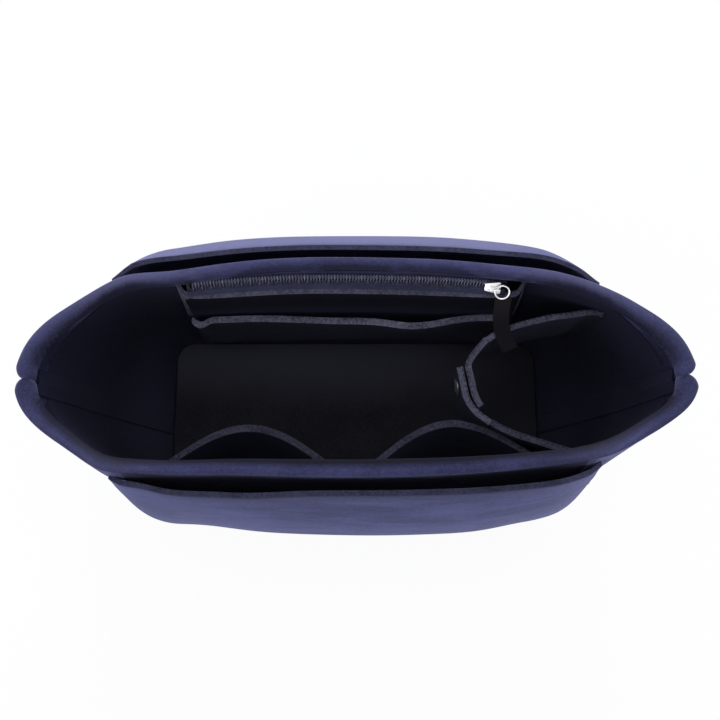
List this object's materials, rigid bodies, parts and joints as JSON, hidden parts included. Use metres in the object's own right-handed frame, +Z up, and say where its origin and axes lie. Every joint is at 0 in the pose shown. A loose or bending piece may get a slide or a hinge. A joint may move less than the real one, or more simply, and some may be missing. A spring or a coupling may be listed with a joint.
{
  "type": "padded handbag insert",
  "caption": "Soft open-topped felt insert with padded walls, outer pockets, an inner zip pocket, slip and gaping pockets and a bottle holder that snaps shut.",
  "frame": {"origin": "centre of the flat underside of the base", "axes": "+X to the right along the long side, +Y to the back wall with the zip pocket, +Z up out of the mouth"},
  "size_m": [0.3594, 0.1709, 0.16],
  "materials": {
    "felt": "soft pressed felt, matt",
    "lining": "dark pressed felt, matt",
    "padding": "bonded wadding, hidden",
    "board": "stiff grey board, hidden",
    "tape": "woven polyester tape",
    "coil": "drawn nylon coil",
    "plated_metal": "bright nickel plate",
    "ribbon": "short dark woven ribbon"
  },
  "bodies": {
    "body": {"base_felt": "felt", "base_board": "board", "base_lining": "lining", "front_wall_shell": "felt", "front_wall_padding": "padding", "front_wall_lining": "lining", "back_wall_shell": "felt", "back_wall_padding": "padding", "back_wall_lining": "lining", "left_seam_tape": "tape", "right_seam_tape": "tape", "front_outer_pocket": "felt", "back_outer_pocket": "felt", "zip_pocket_panel": "felt", "slip_pocket_panel": "felt", "zipper_upper_tape": "tape", "zipper_lower_tape": "tape", "zipper_upper_coil": "coil", "zipper_upper_top_stop": "plated_metal", "zipper_lower_coil": "coil", "zipper_lower_top_stop": "plated_metal", "zipper_bottom_stop": "plated_metal", "left_gaping_pocket": "felt", "right_gaping_pocket": "felt", "holder_front_strap": "felt", "holder_back_strap": "felt"},
    "slider": {"zipper_slider": "plated_metal"},
    "pull": {"zipper_pull": "plated_metal", "pull_ribbon": "ribbon"},
    "front_tongue": {"holder_front_tongue": "felt", "snap_cap": "plated_metal", "snap_socket": "plated_metal"},
    "back_tongue": {"holder_back_tongue": "felt", "snap_stud": "plated_metal", "snap_rivet": "plated_metal"}
  },
  "joints": [
    {"name": "zipper_travel", "type": "hinge", "parent": "body", "child": "slider", "pos_m": [-0.0055, -0.7414, 0.142], "axis": [0, 0, 1], "range_deg": [0, 11.4]},
    {"name": "pull_flip", "type": "hinge", "parent": "slider", "child": "pull", "pos_m": [0.07623, 0.05119, 0.14557], "axis": [0.0746, 0.7394, 0.6691], "range_deg": [-120, 0]},
    {"name": "front_tongue_unsnap", "type": "hinge", "parent": "body", "child": "front_tongue", "pos_m": [0.0755, -0.0182, 0.099], "axis": [0, 0, 1], "range_deg": [0, 20]},
    {"name": "back_tongue_unsnap", "type": "hinge", "parent": "body", "child": "back_tongue", "pos_m": [0.0746, 0.0297, 0.099], "axis": [0, 0, 1], "range_deg": [0, 20]}
  ]
}
